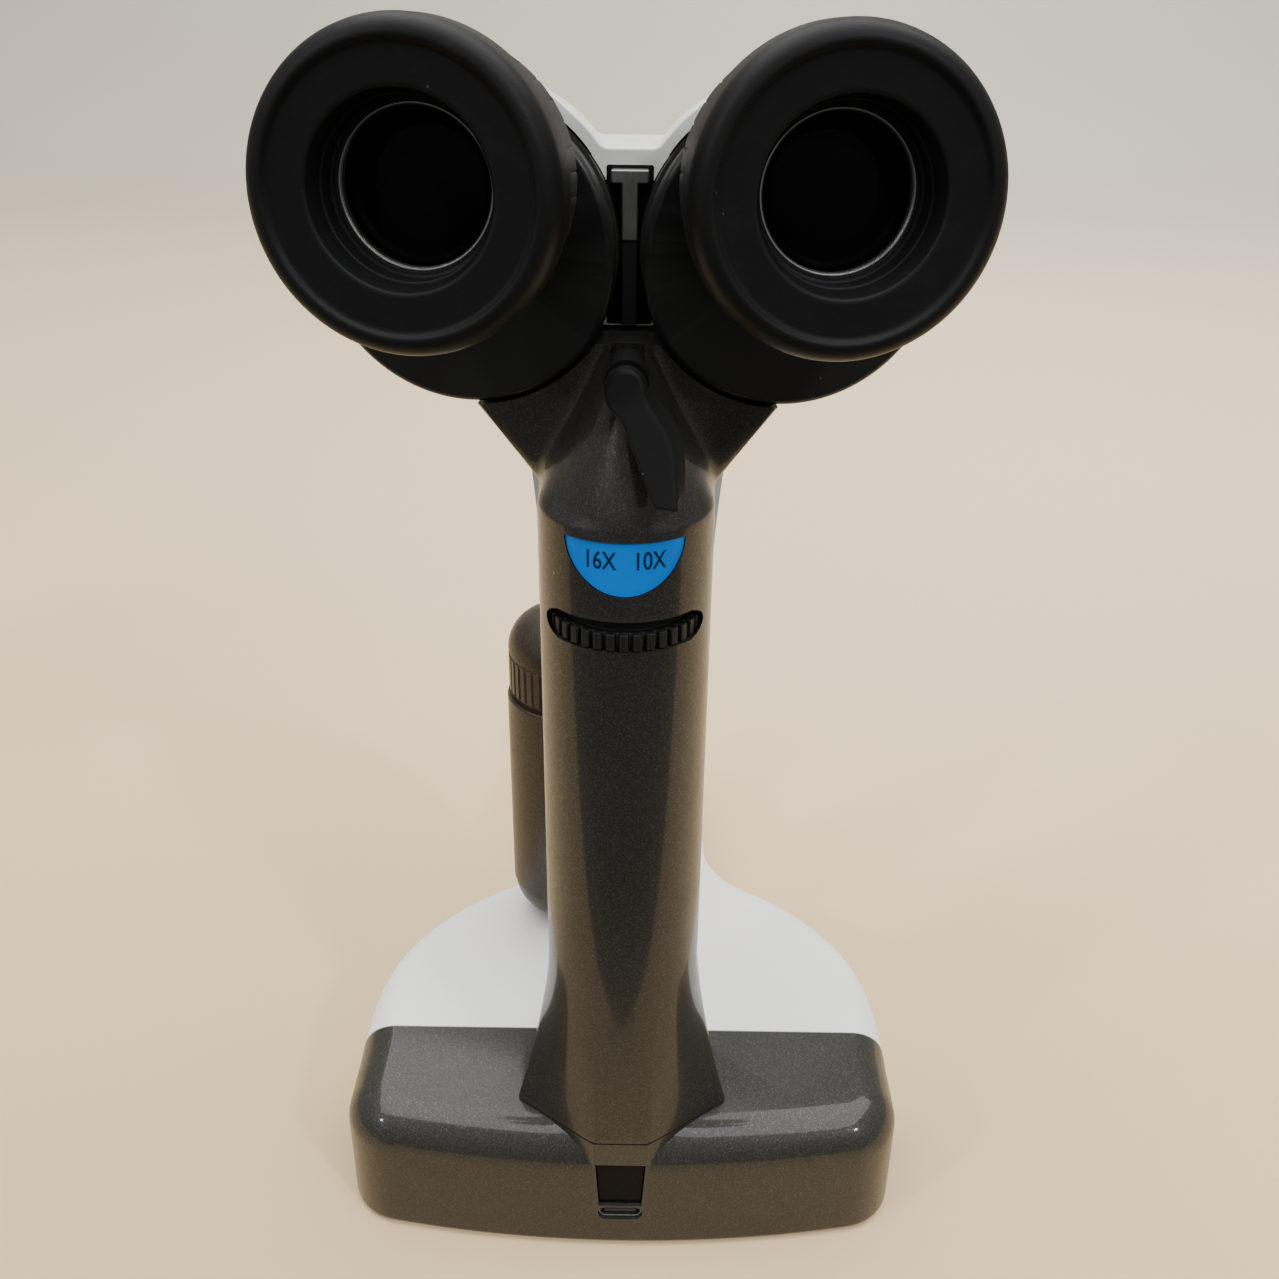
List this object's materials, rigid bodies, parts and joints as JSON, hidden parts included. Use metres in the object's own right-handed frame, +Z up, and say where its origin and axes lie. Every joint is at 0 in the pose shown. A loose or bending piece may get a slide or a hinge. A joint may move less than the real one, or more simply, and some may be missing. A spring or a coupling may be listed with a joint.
{
  "type": "handheld slit lamp",
  "caption": "Binocular eye microscope on a hand grip with a swinging lamp tower, standing in its charging stand.",
  "frame": {"origin": "on the table, under the middle of the stand's round front", "axes": "+Z up, +Y from the operator to the patient, +X to the operator's right"},
  "size_m": [0.116, 0.1808, 0.2347],
  "materials": {
    "graphite": "metallic graphite paint, clear coated",
    "white": "gloss white",
    "black": "satin black",
    "rubber": "matt black rubber",
    "pad": "matt",
    "steel": "brushed",
    "aluminium": "milled",
    "brass": "plated",
    "board": "solder resist",
    "glass": "coated",
    "mirror": "front silvered",
    "label": "blue print under clear",
    "window": "smoked clear",
    "cell": "shrink sleeve",
    "led": "clear dome"
  },
  "bodies": {
    "stand": {"stand_rear_shell": "graphite", "stand_front_shell": "white", "stand_bottom_plate": "black", "base_pad": "pad", "stand_ballast": "steel", "stand_board": "board", "charge_inlet": "steel", "charge_window": "window", "contact_block": "black", "stand_screws": "steel"},
    "pins": {"spring_pins": "brass"},
    "lamp": {"rear_shell": "graphite", "head_shell": "white", "front_shell": "white", "arm_cover": "white", "foot_block": "black", "foot_contacts": "brass", "battery": "cell", "main_board": "board", "scale_label": "label", "dimmer_pot": "black", "optics_chassis": "aluminium", "carriage_rails": "steel", "objective_ring_left": "black", "objective_ring_right": "black", "objective_lenses": "glass", "bridge_bracket": "steel", "lever_bush": "brass", "pivot_bush": "brass", "shell_screws": "steel"},
    "mag_lever": {"mag_lever": "black", "mag_shaft": "steel"},
    "lens_carriage": {"lens_carriage": "black", "carriage_lenses": "glass"},
    "dimmer_wheel": {"dimmer_wheel": "black"},
    "housing_left": {"prism_housing_left": "black", "prism_left": "glass", "eye_tube_left": "black"},
    "housing_right": {"prism_housing_right": "black", "prism_right": "glass", "eye_tube_right": "black"},
    "eyepiece_left": {"dioptre_ring_left": "black", "eyecup_left": "rubber", "eye_lens_left": "glass"},
    "eyepiece_right": {"dioptre_ring_right": "black", "eyecup_right": "rubber", "eye_lens_right": "glass"},
    "swing_arm": {"swing_arm": "graphite", "pivot_pin": "steel", "tower_tube": "graphite", "tower_cap": "graphite", "heat_sink": "aluminium", "lamp_led": "led", "condenser_lens": "glass", "upper_tube": "graphite", "mirror_head": "black", "mirror": "mirror"},
    "slit_dial": {"slit_dial": "black", "slit_disc": "black"}
  },
  "joints": [
    {"name": "lamp_lift", "type": "slide", "parent": "stand", "child": "lamp", "axis": [0, 0, 1], "range_m": [0, 0.06]},
    {"name": "contact_pins_press", "type": "slide", "parent": "stand", "child": "pins", "axis": [0, 0, -1], "range_m": [0, 0.0008], "stiffness_N_per_m": 150, "springref_m": -0.001},
    {"name": "thumbwheel_turn", "type": "hinge", "parent": "lamp", "child": "dimmer_wheel", "pos_m": [0, -0.0202, 0.1437], "axis": [0, 0, 1], "range_deg": [-135, 135]},
    {"name": "mag_lever_swing", "type": "hinge", "parent": "lamp", "child": "mag_lever", "pos_m": [0, -0.025, 0.1825], "axis": [0, 1, 0], "range_deg": [0, 46]},
    {"name": "lens_carriage_slide", "type": "slide", "parent": "lamp", "child": "lens_carriage", "axis": [1, 0, 0], "range_m": [0, 0.0125]},
    {"name": "housing_left_turn", "type": "hinge", "parent": "lamp", "child": "housing_left", "pos_m": [-0.0255, -0.0094, 0.2011], "axis": [-0.1475, -0.9872, 0.061], "range_deg": [-30, 36]},
    {"name": "housing_right_turn", "type": "hinge", "parent": "lamp", "child": "housing_right", "pos_m": [0.0255, -0.0094, 0.2011], "axis": [0.1475, -0.9872, 0.061], "range_deg": [-36, 30]},
    {"name": "dioptre_left_turn", "type": "hinge", "parent": "housing_left", "child": "eyepiece_left", "pos_m": [-0.02541, -0.0088, 0.21108], "axis": [-0.1475, -0.9872, 0.061], "range_deg": [-90, 90]},
    {"name": "dioptre_right_turn", "type": "hinge", "parent": "housing_right", "child": "eyepiece_right", "pos_m": [0.02541, -0.0088, 0.21108], "axis": [0.1475, -0.9872, 0.061], "range_deg": [-90, 90]},
    {"name": "illumination_swing", "type": "hinge", "parent": "lamp", "child": "swing_arm", "pos_m": [0, 0.122, 0.035], "axis": [0, 0, 1], "range_deg": [-50, 70]},
    {"name": "slit_dial_turn", "type": "hinge", "parent": "swing_arm", "child": "slit_dial", "pos_m": [-0.01389, 0.04322, 0.1], "axis": [0, 0, 1], "range_deg": [0, 270]}
  ],
  "couplings": [
    {"joint": "lens_carriage_slide", "follows": "mag_lever_swing", "m_per_rad": 0.01557},
    {"joint": "housing_right_turn", "follows": "housing_left_turn", "ratio": -1}
  ]
}
